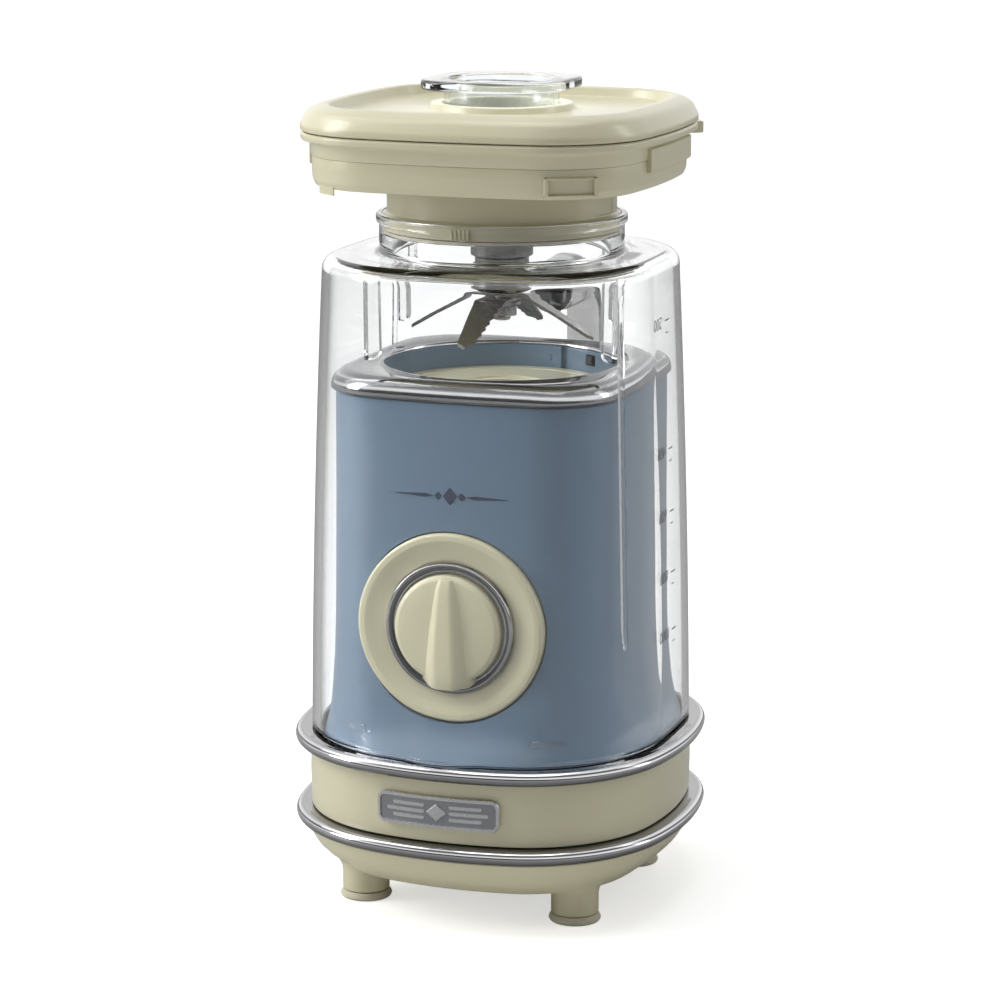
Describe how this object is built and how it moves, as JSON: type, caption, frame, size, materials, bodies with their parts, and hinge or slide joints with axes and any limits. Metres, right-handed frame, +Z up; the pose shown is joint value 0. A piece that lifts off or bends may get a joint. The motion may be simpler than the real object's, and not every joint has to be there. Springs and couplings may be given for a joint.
{
  "type": "countertop blender",
  "caption": "Countertop blender stored with its clear jar upside down over a knob-controlled motor base, blade unit in the jar's neck, lid and measuring cap on top.",
  "frame": {"origin": "on the standing surface, at the middle of the whole footprint with the jar handle included; the upright axis of the motor and jar lies 16.0 mm in front of it", "axes": "+Z up; the knob side faces -Y and the jar handle points to +Y"},
  "size_m": [0.1346, 0.1666, 0.2742],
  "materials": {
    "ivory_plastic": "glossy moulded",
    "blue_plastic": "glossy moulded",
    "chrome_trim": "mirror",
    "badge_metal": "satin",
    "clear_plastic": "clear",
    "foot_rubber": "matt",
    "seal_silicone": "satin",
    "steel": "bright",
    "blade_steel": "ground",
    "copper": "enamelled wire",
    "lamination_steel": "varnished",
    "bearing_bronze": "sintered",
    "carbon": "matt",
    "black_plastic": "fine moulded"
  },
  "bodies": {
    "base": {"bottom_pan": "ivory_plastic", "foot_front_left": "foot_rubber", "foot_rear_left": "foot_rubber", "foot_front_right": "foot_rubber", "foot_rear_right": "foot_rubber", "lower_ring": "chrome_trim", "upper_ring": "chrome_trim", "base_band": "ivory_plastic", "name_plate": "badge_metal", "cord_gland": "black_plastic", "motor_housing": "blue_plastic", "top_trim": "chrome_trim", "well_wall": "blue_plastic", "well_deck": "ivory_plastic", "interlock_switch": "black_plastic", "base_frame": "black_plastic", "base_screw_1": "steel", "base_screw_2": "steel", "base_screw_3": "steel", "base_screw_4": "steel", "stator": "lamination_steel", "field_winding_upper": "copper", "field_winding_lower": "copper", "upper_bracket": "steel", "through_bolt_left": "steel", "through_bolt_right": "steel", "upper_bearing": "bearing_bronze", "lower_bearing": "bearing_bronze", "brush_holder_left": "bearing_bronze", "brush_holder_right": "bearing_bronze", "brush_left": "carbon", "brush_right": "carbon", "knob_bezel": "ivory_plastic", "knob_ring": "chrome_trim", "rotary_switch": "black_plastic"},
    "motor": {"motor_shaft": "steel", "armature": "copper", "commutator": "copper", "cooling_fan": "black_plastic", "drive_coupling": "black_plastic"},
    "control_knob": {"knob": "ivory_plastic", "knob_shaft": "steel"},
    "interlock": {"interlock_slider": "black_plastic"},
    "jar": {"jar": "clear_plastic", "jar_handle": "clear_plastic"},
    "blade_base": {"blade_collar": "ivory_plastic", "collar_seal": "seal_silicone", "bearing_hub": "steel", "spindle_bush_lower": "bearing_bronze", "spindle_bush_upper": "bearing_bronze"},
    "blades": {"blade_spindle": "steel", "blade_long": "blade_steel", "blade_wide": "blade_steel", "blade_washer": "steel", "blade_nut": "steel", "driven_coupling": "black_plastic"},
    "lid": {"lid_cover": "ivory_plastic", "lid_body": "ivory_plastic", "lid_seal": "ivory_plastic"},
    "cap": {"measuring_cap": "clear_plastic"}
  },
  "joints": [
    {"name": "motor_spin", "type": "hinge", "parent": "base", "child": "motor", "pos_m": [0, -0.016, 0.0855], "axis": [0, 0, 1], "continuous": true},
    {"name": "knob_turn", "type": "hinge", "parent": "base", "child": "control_knob", "pos_m": [0, -0.066, 0.1005], "axis": [0, 1, 0], "range_deg": [-45, 90]},
    {"name": "interlock_press", "type": "slide", "parent": "base", "child": "interlock", "axis": [0.5344, 0.8453, 0], "range_m": [0, 0.0025], "stiffness_N_per_m": 300},
    {"name": "jar_lift", "type": "slide", "parent": "base", "child": "jar", "axis": [0, 0, 1], "range_m": [0, 0.13]},
    {"name": "blade_base_turn", "type": "hinge", "parent": "jar", "child": "blade_base", "pos_m": [0, -0.016, 0.2275], "axis": [0, 0, 1], "range_deg": [0, 30]},
    {"name": "blade_spin", "type": "hinge", "parent": "blade_base", "child": "blades", "pos_m": [0, -0.016, 0.2055], "axis": [0, 0, 1], "continuous": true},
    {"name": "lid_lift", "type": "slide", "parent": "jar", "child": "lid", "axis": [0, 0, 1], "range_m": [0, 0.05]},
    {"name": "cap_lift", "type": "slide", "parent": "lid", "child": "cap", "axis": [0, 0, 1], "range_m": [0, 0.03]}
  ]
}
